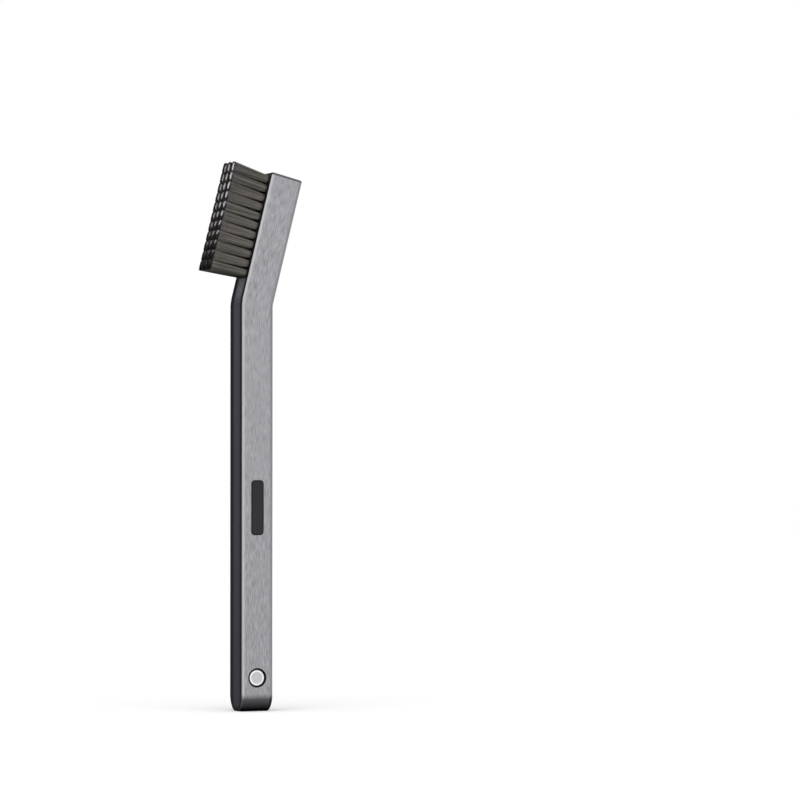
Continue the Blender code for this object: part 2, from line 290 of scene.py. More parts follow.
nose_levels = NOSE_HEIGHT - NOSE_RADIUS * np.sin(NOSE_SWEEP * np.linspace(1, 0, NOSE_STEPS))
cut_levels = np.array((0, *CUT_SOFT * EDGE, EDGE, EDGE + SOFT, END_DARK))
plate_levels = PLATE_LEVEL + steps_between(-PLATE_REACH, CORNER_LINES, -PLATE_STRAIGHT[1], PLATE_LINES[1],
                                           PLATE_STRAIGHT[1], CORNER_LINES, PLATE_REACH)
disc_levels = DISC_LEVEL + np.linspace(-PATCH_HALF, PATCH_HALF, DISC_LINES + 1)
bend_levels = np.linspace(BEND_START, BEND_END, BEND_STEPS + 1)
hole_levels = np.linspace(ROW_LEVELS[-1] - ROW_PITCH / 2, ROW_LEVELS[0] + ROW_PITCH / 2,
                          ROWS * CELL_LINES + 1)
LEVELS = np.unique(np.round(np.concatenate((
    nose_levels, cut_levels, [NOSE_HEIGHT + SOFT], disc_levels, plate_levels, bend_levels, hole_levels,
    BAR_LENGTH - cut_levels)), 8))
print("heights along the bar:", len(LEVELS))


def outline_at(level):
    """Half width, half depth and the depth of the cut edges at each height.

    The cut at either end takes as much off the width as it is high. On the nose, the depth follows the arc,
    and the cut gets deeper as the arc leans, so that it stays equally wide.
    """
    end_cut = np.maximum(EDGE - (BAR_LENGTH - level), 0)
    foot_cut = np.maximum(EDGE - level, 0)
    drop = np.clip((NOSE_HEIGHT - level) / NOSE_RADIUS, 0, math.sin(NOSE_SWEEP))
    painted_lean_light = np.sqrt(1 - drop**2)
    run_in = NOSE_RADIUS * (1 - painted_lean_light)
    return HALF_WIDTH - end_cut - foot_cut, HALF_DEPTH - end_cut - run_in, EDGE / painted_lean_light


# %% [markdown]
# A pocket takes a rectangular patch of this grid: the patch's faces go, and rings lead from its border to
# the pocket's outline, over the edge, down the wall and across the floor. A round hole is a rounded
# rectangle that is all corners, so one function serves the 33 holes and both pockets.

# %% Outlines of pockets


def rounded_outline(half, corner, corner_steps, straight_steps):
    """Points around a rounded rectangle, each side from the middle of one corner to that of the next.

    corner_steps go over half of a corner's quarter circle, and a side's straight part has its own steps.
    """
    sides = []
    for side, (run, reach) in enumerate(((0, 1), (1, 0), (0, 1), (1, 0))):
        straight = straight_steps[run]
        step = np.arange(2 * corner_steps + straight)
        first, last = step / corner_steps - 1, (step - straight) / corner_steps - 1
        angle = (np.clip(first, -1, 0) + np.clip(last, 0, 1)) * math.pi / 4
        share = np.clip((step - corner_steps) / straight, 0, 1) if straight else 0.5 + 0 * step
        forward = (half[run] - corner) * (2 * share - 1) + corner * np.sin(angle)
        outward = half[reach] - corner + corner * np.cos(angle)
        pair = [None, None]
        pair[run] = forward if side < 2 else -forward
        pair[reach] = outward if side in (1, 2) else -outward
        sides.append(np.stack(pair, -1))
    return np.concatenate(sides)


def border(patch):
    """What stands on the border of a patch of the grid, in the same order as rounded_outline."""
    return np.concatenate((patch[0, :-1], patch[:-1, -1], patch[-1, :0:-1], patch[:0:-1, 0]))


def on_face(face, sideways, level, depth):
    """A point at a depth under the front or left face, sideways being counted as that face's lines are."""
    if face == "front":
        return on_bar(level, sideways, depth - HALF_DEPTH)
    return on_bar(level, depth - HALF_WIDTH, -sideways)


# %% [markdown]
# Each pocket is noted down with the patch that it takes. The holes get the cone that a drill leaves, and
# every mouth is softened, because a sharp one would catch no light.

# %% All pockets and holes
Pocket = namedtuple("Pocket", "face centre half corner corner_steps straight_steps depth point sides reach")

BRUSHED, DARK, CUT, HOLE_SHADE = range(4)  # the bar's materials
MOUTH = 0.00008  # how much the mouth of a pocket is softened
MOUTH_RING = 2  # the ring of faces that is its slanting mouth
HOLE_DEPTH = 0.0078
DRILL_ANGLE = math.radians(118)
DRILL_POINT = HOLE_RADIUS / math.tan(DRILL_ANGLE / 2)
DISC_SINK, DISC_THICKNESS = 0.0005, 0.0006
DISC_POCKET = 0.00295  # radius
PATCH = (-PATCH_HALF, PATCH_HALF)
CELL_BORDERS = (SOFT - SIDE_HALF, -COLUMN_PITCH / 2, COLUMN_PITCH / 2, SIDE_HALF - SOFT)


def round_pocket(face, centre, radius, lines, depth, point, sides, reach):
    return Pocket(face, centre, np.full(2, radius), radius, lines // 2, (0, 0), depth, point, sides, reach)


def pocket_points(pocket):
    """The points of a pocket's rings and of its floor's middle, in the room and on the face.

    Each ring is the outline, grown or shrunk, at its depth: from the face over the mouth and down the wall.
    The middle lies deeper by the drill's point.
    """
    depth = pocket.depth
    rooms, places = [], []
    for growth, down in ((2 * MOUTH, 0), (MOUTH, 0), (0, MOUTH), (0, 2 * MOUTH), (0, depth - MOUTH),
                         (0, depth), (-MOUTH, depth)):
        places.append(rounded_outline(pocket.half + growth, pocket.corner + growth, pocket.corner_steps,
                                      pocket.straight_steps) + pocket.centre)
        rooms.append(on_face(pocket.face, *places[-1].T, down))
    places.append(np.array([pocket.centre]))
    rooms.append(on_face(pocket.face, *places[-1].T, depth + pocket.point))
    return np.concatenate(rooms), np.concatenate(places)


POCKETS = [Pocket("front", (0.0, PLATE_LEVEL), PLATE_HALF + SEAT_GAP, PLATE_CORNER + SEAT_GAP, CORNER_LINES,
                  PLATE_LINES, PLATE_DEPTH + SEAT_GAP, 0.0, PATCH, PLATE_REACH),
           round_pocket("front", (0.0, DISC_LEVEL), DISC_POCKET, DISC_LINES,
                        DISC_SINK + DISC_THICKNESS + SEAT_GAP, 0.0, PATCH, PATCH_HALF)]
for level in ROW_LEVELS:
    for column in range(COLUMNS):
        centre = ((column - MIDDLE_COLUMN) * COLUMN_PITCH, level)
        POCKETS.append(round_pocket("left", centre, HOLE_RADIUS, CELL_LINES, HOLE_DEPTH, DRILL_POINT,
                                    CELL_BORDERS[column:column + 2], ROW_PITCH / 2))
print("pockets and holes:", len(POCKETS))

# %% [markdown]
# Now the bar itself: the grid, less its patches, plus the pockets and the two flat ends. Each corner of a
# face keeps its place on the bar, round it and along it in millimetres, in a map that the brushed grain
# follows through the bend.

# %% Parts of the bar
HALF_OF_FACE = {"front": FACE_HALF, "left": SIDE_HALF}


class Shell:
    """Points and faces of one piece, with every corner's place on the bar and every face's material."""

    def __init__(self):
        self.points, self.faces, self.places, self.kinds = [], [], [], []
        self.total = 0

    def add_points(self, points):
        """Adds points and gives their numbers."""
        self.points.append(points)
        self.total += len(points)
        return np.arange(self.total - len(points), self.total)

    def add_faces(self, faces, places, kinds):
        """Adds faces. places and kinds may be one for all of them."""
        self.faces.append(faces)
        self.places.append(np.broadcast_to(places, (*faces.shape, 2)).reshape(-1, 2))
        self.kinds.append(np.broadcast_to(kinds, len(faces)))


def distance_around():
    """How far round the bar each line is from the middle of the front, and at last the first one again."""
    across, depth = ring_around(HALF_WIDTH, HALF_DEPTH, EDGE)
    walk = np.hypot(np.diff(across[0], append=across[0, 0]), np.diff(depth[0], append=depth[0, 0]))
    return np.append(0, np.cumsum(walk)) - FACE_HALF


AROUND = distance_around()
PLACES = np.stack(np.meshgrid(AROUND, LEVELS), -1)
FACE_MIDDLE = {face: AROUND[FIRST_LINE[face]] + half for face, half in HALF_OF_FACE.items()}
RIGHT_MIDDLE = AROUND[FIRST_LINE["right"]] + SIDE_HALF


def nearest(values, wanted):
    return int(np.argmin(np.abs(values - wanted)))


def patch_of(pocket):
    """The first and last level, and the first and last line, of the patch that a pocket takes."""
    lines = LINES[pocket.face] * HALF_OF_FACE[pocket.face]
    first, last = (FIRST_LINE[pocket.face] + nearest(lines, side) for side in pocket.sides)
    level = pocket.centre[1]
    return nearest(LEVELS, level - pocket.reach), nearest(LEVELS, level + pocket.reach), first, last


def add_pocket(bar, number, pocket):
    """Leads rings from the border of a pocket's patch to its outline, and closes its floor with a fan."""
    low, high, first, last = patch_of(pocket)
    patch = np.s_[low:high + 1, first:last + 1]
    points, places = pocket_points(pocket)
    places = places + (FACE_MIDDLE[pocket.face], 0)
    added = bar.add_points(points)
    outer = border(number[patch])
    rings = [outer, *added[:-1].reshape(-1, len(outer))]
    ring_places = [border(PLACES[patch]), *places[:-1].reshape(-1, len(outer), 2)]
    # round the holes in the left face, the flat takes the painted shade of the tufts
    flat, mouth = (BRUSHED, CUT) if pocket.face == "front" else (HOLE_SHADE, DARK)
    kinds = [flat] * MOUTH_RING + [mouth] + [DARK] * len(rings)
    for faces, face_places, kind in zip(strips(rings), strips(ring_places), kinds):
        bar.add_faces(faces, face_places, kind)
    fan, fan_places = (np.stack((ring, np.roll(ring, -1, 0), np.broadcast_to(middle, ring.shape)), 1)
                       for ring, middle in ((rings[-1], added[-1]), (ring_places[-1], places[-1])))
    bar.add_faces(fan, fan_places, DARK)


def add_end(bar, number, level, across, depth):
    """Closes one end of the bar with a narrow band inside its rim and one flat face."""
    inside = [part * (1 - SOFT / np.abs(part).max()) for part in (across, depth)]
    rim = bar.add_points(on_bar(np.full(len(number), level), *inside))
    bar.add_faces(strip(number, rim), RIGHT_MIDDLE, DARK)
    bar.add_faces(rim[None], RIGHT_MIDDLE, DARK)


print("way round the bar:", np.round(MM * (AROUND[-1] - AROUND[0]), 2), "mm")

# %% [markdown]
# With these parts the bar is put together. The patches are taken out of the grid first, so that the
# pockets can be joined to the rest.

# %% The bar


def fields(grid):
    """The four corners of every field of a grid of point numbers or places."""
    return np.stack((grid[:-1, :-1], grid[:-1, 1:], grid[1:, 1:], grid[1:, :-1]), 2)


def field_kinds(rows, columns):
    """The material of every field: brushed front and back, cut edges beside them, and dark for the rest."""
    kinds = np.full((rows, columns), DARK)
    for face in ("front", "back"):
        first = FIRST_LINE[face]
        last = first + len(LINES[face]) - 1
        kinds[:, np.arange(first - CUT_FIELDS, last + CUT_FIELDS)] = CUT
        kinds[:, first:last] = BRUSHED
    kinds[LEVELS[:-1] >= BAR_LENGTH - END_DARK - WELD] = DARK
    return kinds


def build_bar():
    """The grid, one row of points a height and one column a line, with the pockets and the ends added."""
    across, depth = ring_around(*outline_at(LEVELS))
    grid = on_bar(LEVELS[:, None], across, depth)
    bar = Shell()
    number = bar.add_points(grid.reshape(-1, 3)).reshape(grid.shape[:2])
    keep = np.ones((len(LEVELS) - 1, grid.shape[1]), bool)
    for pocket in POCKETS:
        low, high, first, last = patch_of(pocket)
        keep[low:high, first:last] = False
    faces = fields(np.append(number, number[:, :1], 1))
    bar.add_faces(faces[keep], fields(PLACES)[keep], field_kinds(*keep.shape)[keep])
    for pocket in POCKETS:
        add_pocket(bar, number, pocket)
    for row in (0, -1):
        add_end(bar, number[row], LEVELS[row], across[row], depth[row])
    uv = np.concatenate(bar.places) * MM
    return mesh_from("handle", np.concatenate(bar.points), bar.faces, uv, np.concatenate(bar.kinds))


HANDLE = add_piece(build_bar(), "handle_metal", "handle_bar")
print("handle:", len(HANDLE.data.polygons), "faces")

# %% [markdown]
# A tuft is a bundle of filaments as thin as 0.1 mm, glued into its hole. They leave the glue close
# together and spread until the tufts nearly touch. Each is a thin four-sided rod along its own curve, and
# all the rods of a tuft are one array, so the 33 tufts take about a second.

# %% The filaments of one tuft
BRISTLE_LENGTH = 0.0126  # from the face of the head to the trimmed tips
ROOT_SINK = 0.0004  # the glue stays this far under the face
ROOT_RADIUS = HOLE_RADIUS - 0.00004
FIBRES = 400
FIBRE_RADIUS = 0.000052
FIBRE_SIDES = 4
FIBRE_STATIONS = 6
FOOT_SCATTER = 0.1  # how unevenly the feet are turned
FLARE = 0.9  # under 1, a tuft widens soonest near its root
FAN = np.array((0.00012, 0.00042))  # how far tufts lean apart, along and across
TIP_REACH = np.array((0.0016, 0.00138))  # of the outermost tips, along and across
TIP_SPREAD = 1.75  # how much wider its cut end is
SQUARENESS = 0.35  # how far tips push into the tuft's corners
TRIM = 0.00005  # unevenness of the trimmed ends
TIP_DOME = 0.00008  # how much shorter the outermost filaments end
WANDER = 0.00004  # how far a filament strays from its even curve
WANDER_TURNS = 2, 5  # radians of its wave over its length, least and most
GOLDEN_ANGLE = math.pi * (3 - math.sqrt(5))


def fibre_lines(random, lean):
    """Centre lines of a tuft's filaments, as an array of filament, station and place, and their feet.

    The feet lie on a sunflower spiral, at equal shares of the hole's area. A filament moves out by its
    share of the height to the power of FLARE, plus the lean of the tuft and a slow wave. The tips fill an
    oval with fuller corners, because each way they are pushed out by the square of their place the other
    way. The ends are trimmed level, a little shorter towards the rim.
    """
    index = np.arange(FIBRES)
    reach = np.sqrt((index + 0.5) / FIBRES)
    angle = index * GOLDEN_ANGLE + random.normal(0, FOOT_SCATTER, FIBRES)
    foot = np.stack((np.cos(angle), np.sin(angle)), -1) * reach[:, None]
    share = np.linspace(0, 1, FIBRE_STATIONS)[None, :, None]
    start = foot * (ROOT_RADIUS - FIBRE_RADIUS)
    end = foot * (1 + SQUARENESS * foot[:, ::-1] ** 2) * (TIP_REACH - FIBRE_RADIUS)
    phase = random.uniform(0, 2 * math.pi, (FIBRES, 1, 2))
    wave = WANDER * share * np.sin(phase + share * random.uniform(*WANDER_TURNS, (FIBRES, 1, 2)))
    flat = start[:, None] + (end - start)[:, None] * share**FLARE + lean * share + wave
    length = BRISTLE_LENGTH - TRIM * random.random(FIBRES) ** 2 - TIP_DOME * reach**4
    height = share[..., 0] * (length + ROOT_SINK)[:, None] - ROOT_SINK
    height[:, 0] -= FIBRE_RADIUS
    return np.concatenate((flat, height[..., None]), -1), foot


# %% [markdown]
# Four numbers travel with every filament, for its material: a tone of its own, its height, because roots
# are in painted shade, its row's painted tip light, strongest at the end of the head, and its place in the
# pad of painted light on its tuft's end. In the photo these pads are pale ovals to one side of each end,
# and fade from the first row to the last. The lowest filaments of the last row are painted darker, as in
# shade.

# %% Numbers for the material
PAD_SLIMNESS = 1.15, 1.8  # how far the pad falls short of the tuft's rim
PAD_SHORTENING = 0.8  # how much slimmer it is along the bar in the last row
PAD_SHIFTS = 0.42, 0.38, 0.8  # of the pad to the front in each column
PAD_RISES = -0.08, -0.15, -0.25  # up the bar in each column of the first row
PAD_CLIMB = 0.9  # how much further up it lies in the last row
TIP_LIGHT_FALL = 2.6  # how late the painted tip light falls off over the rows
COLUMN_TIP_LIGHT = 1.0, 0.72, 0.66  # painted light: the front column's tips are lit most
UNDER_SHADE = 1.0  # how dark the last row's lowest filaments are
UNDER_START = 0.55  # how far below the middle that begins


def place_in_pad(foot, row, column):
    """How far out a filament stands in the painted light pad of its tuft's end: 0 in its middle, and 1 on
    its rim.

    The pad is a shifted oval, which gets shorter along the bar and lies further up from row to row.
    """
    fall = row / LAST_ROW
    along = foot[:, 0] - PAD_RISES[column] - PAD_CLIMB * fall
    across = foot[:, 1] + PAD_SHIFTS[column]
    return np.hypot((PAD_SLIMNESS[0] + PAD_SHORTENING * fall) * along, PAD_SLIMNESS[1] * across)


def fibre_numbers(foot, row, column, random):
    """Tone, height, painted tip light and place in the painted light pad, one value for each point of a
    tuft's filaments.
    """
    tone = random.uniform(0, 1, FIBRES)
    if row == LAST_ROW:
        below = np.clip((-foot[:, 0] - UNDER_START) / (1 - UNDER_START), 0, 1)
        tone -= (UNDER_SHADE + tone) * below
    height = np.repeat(np.linspace(0, 1, FIBRE_STATIONS), FIBRE_SIDES)
    tip_light = COLUMN_TIP_LIGHT[column] * (1 - (row / LAST_ROW) ** TIP_LIGHT_FALL)
    return {"fibre_tone": np.repeat(tone, len(height)),
            "fibre_height": np.tile(height, FIBRES),
            "fibre_reach": np.repeat(place_in_pad(foot, row, column), len(height)),
            "fibre_tip_light": np.full(FIBRES * len(height), tip_light)}


# %% [markdown]
# A flat plug of glue with a soft rim closes each hole round its filaments. It is a profile swept round the
# hole's middle. One loop makes all 33 tufts, from one row of random numbers.

# %% All tufts
PLUG_SIDES = 24
PLUG_RISE = 0.00005  # of the glue in the middle
PLUG_FLAT = 0.6  # share of its radius that stays so high
PLUG_DROP = 0.00008  # of the glue at the hole's wall
PLUG_GAP = 0.0002  # left under the plug
FIBRE, END, GLUE = 0, 1, 2  # the tuft's materials
SEED = 7


def plug_points():
    """Rings of the glue plug, from the middle of its top to the middle of its bottom."""
    bottom = PLUG_GAP - HOLE_DEPTH
    profile = ((0, PLUG_RISE - ROOT_SINK), (PLUG_FLAT, PLUG_RISE - ROOT_SINK), (1, -PLUG_DROP - ROOT_SINK),
               (1, bottom), (0, bottom))
    return np.stack([circle(PLUG_SIDES) * share * ROOT_RADIUS + (0, 0, rise) for share, rise in profile])


def build_tuft(name, row, column, random):
    """Filaments and glue plug of one tuft, in the room. Its root lies on the left face at its own level."""
    steps = np.array((LAST_ROW / 2 - row, column - MIDDLE_COLUMN))
    lines, foot = fibre_lines(random, FAN * steps)
    side = FIBRE_RADIUS * circle(FIBRE_SIDES, 0.5)
    thickness = np.append(np.ones(FIBRE_STATIONS - 1), TIP_SPREAD)
    rods = lines[:, :, None] + side * thickness[:, None, None]
    number = np.arange(rods.size // 3).reshape(rods.shape[:3])
    after = np.roll(number, -1, 2)
    walls = np.stack((number[:, :-1], after[:, :-1], after[:, 1:], number[:, 1:]), -1).reshape(-1, 4)
    plug = plug_points()
    plug_number = number.size + np.arange(plug.size // 3).reshape(plug.shape[:2])
    plug_faces = np.concatenate(strips(plug_number[::-1]))
    local = np.concatenate((rods.reshape(-1, 3), plug.reshape(-1, 3)))
    place = on_bar(ROW_LEVELS[row] + local[:, 0], -HALF_WIDTH - local[:, 2],
                   steps[1] * COLUMN_PITCH + local[:, 1])
    faces = [walls, number[:, -1], number[:, 0, ::-1], plug_faces]
    kinds = np.repeat((FIBRE, END, FIBRE, GLUE), [len(group) for group in faces])
    mesh = mesh_from(name, place, faces, None, kinds, weld=False)
    for key, values in fibre_numbers(foot, row, column, random).items():
        values = np.append(values, np.zeros(plug_number.size)).astype(np.float32)
        mesh.attributes.new(key, "FLOAT", "POINT").data.foreach_set("value", values)
    return mesh


random = np.random.default_rng(SEED)
TUFTS = []
for row in range(ROWS):
    for column in range(COLUMNS):
        tag = f"r{row + 1:02d}_c{column + 1}"
        mesh = build_tuft("bristles_" + tag, row, column, random)
        TUFTS.append(add_piece(mesh, "bristle", "tuft_" + tag))
print("tufts:", len(TUFTS), "faces in one:", len(TUFTS[0].data.polygons))

# %% [markdown]
# The plate in the front face is a thin dark inlay with a black rim round a bare, slightly sunk field. It
# is its pocket's rounded outline, carried through a profile.

# %% The inlaid plate
RIM = 0.00028  # width of the plate's rim
FIELD_SINK = 0.00004
PLATE_SOFT = 0.00004  # the step that softens the plate's edges
CORNER_STEPS = 8
RIM_GROUPS = 6  # groups of faces from its back to the inside of the rim
BADGE_RIM, BADGE_FIELD = 0, 1  # the plate's materials


def build_plate():
    """Rings of the plate's outline, each grown by so much at a depth, from its back to its sunk field."""
    soft, inside = PLATE_SOFT, -RIM - PLATE_SOFT
    rings = []
    for growth, depth in ((-soft, PLATE_DEPTH), (0, PLATE_DEPTH - soft), (0, soft), (-soft, 0),
                          (-2 * soft, 0), (-RIM, 0), (inside, FIELD_SINK), (inside - soft, FIELD_SINK)):
        x, z = rounded_outline(PLATE_HALF + growth, PLATE_CORNER + growth, CORNER_STEPS, PLATE_LINES).T
        rings.append(on_face("front", x, z + PLATE_LEVEL, depth))
    number = np.arange(len(rings) * len(rings[0])).reshape(len(rings), -1)
    faces = [number[:1], *strips(number), number[-1:]]
    kinds = [np.full(len(group), BADGE_RIM if index < RIM_GROUPS else BADGE_FIELD)
             for index, group in enumerate(faces)]
    return mesh_from("badge", np.concatenate(rings), faces, None, np.concatenate(kinds))


BADGE = add_piece(build_plate(), "plate", "badge_plate")
print("badge:", len(BADGE.data.polygons), "faces")

# %% [markdown]
# Near the foot a pale round disc lies a little under the face, inside a dark ring. Both are turned parts,
# so each is a profile of radius and depth swept round the middle.

# %% The ring and the disc
TURN_SIDES = 72
RING_WIDTH = 0.00035
RING_OUTSIDE = DISC_POCKET - SEAT_GAP
RING_INSIDE = RING_OUTSIDE - RING_WIDTH
DISC_RADIUS = RING_INSIDE - SEAT_GAP
TOP, BOTTOM = DISC_SINK, DISC_SINK + DISC_THICKNESS
RING_PROFILE = ((RING_INSIDE, BOTTOM), (RING_INSIDE, TOP + SOFT), (RING_INSIDE + SOFT, TOP),
                (RING_OUTSIDE - SOFT, TOP), (RING_OUTSIDE, TOP + SOFT), (RING_OUTSIDE, BOTTOM))
DISC_PROFILE = ((0, TOP), (DISC_RADIUS - 4 * SOFT, TOP), (DISC_RADIUS - 2 * SOFT, TOP),
                (DISC_RADIUS, TOP + 2 * SOFT), (DISC_RADIUS, BOTTOM), (0, BOTTOM))


def turned(name, profile, closed):
    """A profile of (radius, depth) swept round the disc's middle. A closed one is joined end to end."""
    x, z = circle(TURN_SIDES).T[:2]
    rings = [on_face("front", radius * x, DISC_LEVEL + radius * z, depth) for radius, depth in profile]
    number = np.arange(len(rings) * TURN_SIDES).reshape(len(rings), TURN_SIDES)
    return mesh_from(name, np.concatenate(rings), strips([*number, number[0]] if closed else number))


RING = add_piece(turned("dark_ring", RING_PROFILE, True), "ring", "marker_ring")
DISC = add_piece(turned("pale_disc", DISC_PROFILE, False), "disc", "marker_disc")
print("ring and disc:", len(RING.data.polygons), len(DISC.data.polygons), "faces")

# %% [markdown]
# Materials are small networks of nodes. These helpers make one with its plain numbers on the shader
# itself, add and link a node in one line, and give the few patterns of all the finishes.

# %% Helpers for materials
NOISE_RANGE = 0.3, 0.7  # nearly all values of a noise lie between these


def new_material(name, **sockets):
    """A Principled material, its sockets named with underscores for spaces."""
    material = bpy.data.materials.new(name)
    material.use_nodes = True
    shader = material.node_tree.nodes["Principled BSDF"]
    for socket, value in sockets.items():
        shader.inputs[socket.replace("_", " ")].default_value = value
    return material


def add_node(tree, kind, output, inputs=None, **settings):
    """The output of a new node. inputs hold a value or another node's output for each socket."""
    made = tree.nodes.new("ShaderNode" + kind)
    for key, value in settings.items():
        setattr(made, key, value)
    for socket, value in (inputs or {}).items():
        if isinstance(value, bpy.types.NodeSocket):
            tree.links.new(value, made.inputs[socket])
        else:
            made.inputs[socket].default_value = value
    return made.outputs[output]


def node(kind, output, inputs, **settings):
    """The same in the tree of its inputs, because another node's output knows its tree."""
    tree = next(value.id_data for value in inputs.values() if isinstance(value, bpy.types.NodeSocket))
    return add_node(tree, kind, output, inputs, **settings)


def maths(operation, first, second=0.0, clamp=False):
    """The result of one sum on two values or outputs."""
    return node("Math", 0, {0: first, 1: second}, operation=operation, use_clamp=clamp)


def product(first, second):
    return maths("MULTIPLY", first, second)


def span(value, low, high, new_low=0.0, new_high=1.0):
    """Stretches a value from one range to another, and holds it at the ends."""
    return node("MapRange", 0, dict(enumerate((value, low, high, new_low, new_high))))


def noise(place, fineness, detail=3.0, distortion=0.0):
    """Noise with so many grains in one unit of the place, either one number or one for each way."""
    stretch = fineness if isinstance(fineness, tuple) else (fineness,) * 3
    stretched = node("Mapping", 0, {"Vector": place, "Scale": stretch})
    inputs = {"Vector": stretched, "Scale": 1.0, "Detail": detail, "Distortion": distortion}
    return node("TexNoise", "Fac", inputs)


def mixed(share, first, second):
    """A colour between two others."""
    return node("Mix", 2, {0: share, 6: first, 7: second}, data_type="RGBA")


def into(socket, value):
    """Links a value to the shader of its own tree."""
    tree = value.id_data
    tree.links.new(value, tree.nodes["Principled BSDF"].inputs[socket])


def bumped(height, distance):
    into("Normal", node("Bump", 0, {"Height": height, "Distance": distance, "Strength": 1.0}))


def axis(place, name):
    return node("SeparateXYZ", name, {0: place})


def object_place(material):
    return add_node(material.node_tree, "TexCoord", "Object")


def surface(colour, pattern, roughness, bump=0.0):
    """The colour, with a roughness that follows a pattern, and a bump that does where one is given."""
    into("Base Color", colour)
    into("Roughness", span(pattern, *NOISE_RANGE, *roughness))
    if bump:
        bumped(pattern, bump)


def speckled(name, tones, fineness, roughness, bump=0.0, detail=3.0, **sockets):
    """A finish that follows one fine noise in everything."""
    finish = new_material(name, **sockets)
    specks = noise(object_place(finish), fineness, detail)
    surface(mixed(specks, *tones), specks, roughness, bump)
    return finish


# %% [markdown]
# Front and back are brushed along the bar. The grain is a noise drawn out that way: soft streaks about 0.4
# mm wide and a few millimetres long, with finer ones inside. It changes the tone and tips the light by a
# fine bump, most of all on the head and towards the foot. The front has a painted highlight beside its left
# edge and painted shade beside its right one, and down the nose painted shade takes it to black.

# %% Brushed metal
BRUSHED_SHADE = (0.23, 0.228, 0.243, 1)
BRUSHED_LIGHT = (0.467, 0.463, 0.49, 1)
EDGE_PAINTED_HIGHLIGHT = (0.64, 0.635, 0.655, 1)  # painted highlight beside the left edge
EDGE_PAINTED_SHADE = (0.265, 0.263, 0.28, 1)  # painted shade beside the right edge
# painted shade down the round nose, dark grey and then black
NOSE_SHADE_TONES = (0.08, 0.078, 0.089, 1), (0.002, 0.002, 0.002, 1)
CUT_NOSE_SHADE_TONES = (0.105, 0.102, 0.115, 1), (0.022, 0.021, 0.024, 1)
NOSE_SHADE_FADES = (0.0054, 0.0036), (0.0034, 0.0007)  # heights where each tone of the painted shade comes in
NOSE_EDGE_SHADE = 0.005, 0.0035  # where painted shade turns its right edge black
BARE_METAL = 0.0006, 0.002  # where the painted shade of the nose gives way to metal
LOW_STRETCH = 0.09, 0.01  # where the handle gets darker and coarser
HEAD_STRETCH = 0.11, 0.135  # where the head gets coarser
STREAKS = (0.36, 2.7)  # millimetres across and along the bar
FINE_STREAKS = (0.1, 4.0)
CLOUDS = (4.0, 16.0)
GRAIN_RANGE = 0.32, 0.68
GRAIN_MIDDLE = 0.49
PAINTED_HIGHLIGHT_BAND = -4.0, -4.7  # of the painted highlight, in millimetres from the middle of the front
# of the painted shade, the same way
PAINTED_SHADE_BAND = 3.85, 4.35
NOSE_EDGE_SHADING = 3.8, 4.4


def drawn_out(place, size, distortion=0.0):
    """A noise on the bar's map, with grains of this size across and along."""
    return noise(place, (1 / size[0], 1 / size[1], 1), 2.0, distortion)


def with_nose_shade(material, colour, tones):
    """The colour, turning by painted shade to the first tone and then to the second down the round nose."""
    level = axis(object_place(material), "Z")
    for tone, fade in zip(tones, NOSE_SHADE_FADES):
        colour = mixed(span(level, *fade), colour, tone)
    return colour


def place_on_bar(material):
    return add_node(material.node_tree, "UVMap", 0, uv_map="bar_map")


def brushed_metal():
    metal = new_material("brushed_metal", Specular_IOR_Level=0.0)
    place = place_on_bar(metal)
    streaks = drawn_out(place, STREAKS, 0.2)
    fine = drawn_out(place, FINE_STREAKS, 0.1)
    grain = maths("ADD", product(streaks, 0.6), product(fine, 0.4))
    clouds = product(drawn_out(place, CLOUDS), 0.3)
    level = axis(object_place(metal), "Z")
    strength = maths("MAXIMUM", span(level, *LOW_STRETCH, 0.2, 0.8), span(level, *HEAD_STRETCH, 0.2, 0.9))
    coarser = product(maths("SUBTRACT", grain, GRAIN_MIDDLE), strength)
    darker = span(level, *LOW_STRETCH, -0.15, -0.3)
    cloudy = maths("ADD", clouds, maths("ADD", darker, coarser))
    tone = maths("ADD", span(grain, *GRAIN_RANGE, 0.2, 1.0), cloudy, clamp=True)
    brushed = mixed(tone, BRUSHED_SHADE, BRUSHED_LIGHT)
    across = axis(place, "X")
    in_front = maths("LESS_THAN", across, 1.5 * MM * FACE_HALF)
    # painted highlight beside the left edge, painted shade beside the right one
    highlighted = mixed(span(across, *PAINTED_HIGHLIGHT_BAND, 0.0, 0.8), brushed, EDGE_PAINTED_HIGHLIGHT)
    right_shaded = mixed(product(span(across, *PAINTED_SHADE_BAND), in_front), highlighted, EDGE_PAINTED_SHADE)
    # painted shade darkens the nose, and blackens its right edge
    nose_shaded = with_nose_shade(metal, right_shaded, NOSE_SHADE_TONES)
    shaded_nose_edge = product(span(across, *NOSE_EDGE_SHADING), span(level, *NOSE_EDGE_SHADE, 0.0, 0.8))
    surface(mixed(product(shaded_nose_edge, in_front), nose_shaded, NOSE_SHADE_TONES[1]), grain, (0.44, 0.34), 0.000004)
    into("Metallic", span(level, *BARE_METAL))
    return metal


# %% [markdown]
# The sides and the end are satin and dark, as anodised metal is, with a very fine tooth. They get darker
# towards the foot and along their borders, painted shade turns them black at the foot, and painted light
# makes the left side paler where it leans under the tufts. A greyer band runs round the end. The cut edges
# show bare, bright metal. Between the holes, painted shade of the tufts makes the face nearly black.

# %% Dark sides and bright edges
SIDE_TONES = ((0.036, 0.035, 0.042), (0.0425, 0.0415, 0.0485), (0.056, 0.0545, 0.063))
SIDE_RISES = (0.015, 0.055), (0.07, 0.125)  # heights where each gives way to the next
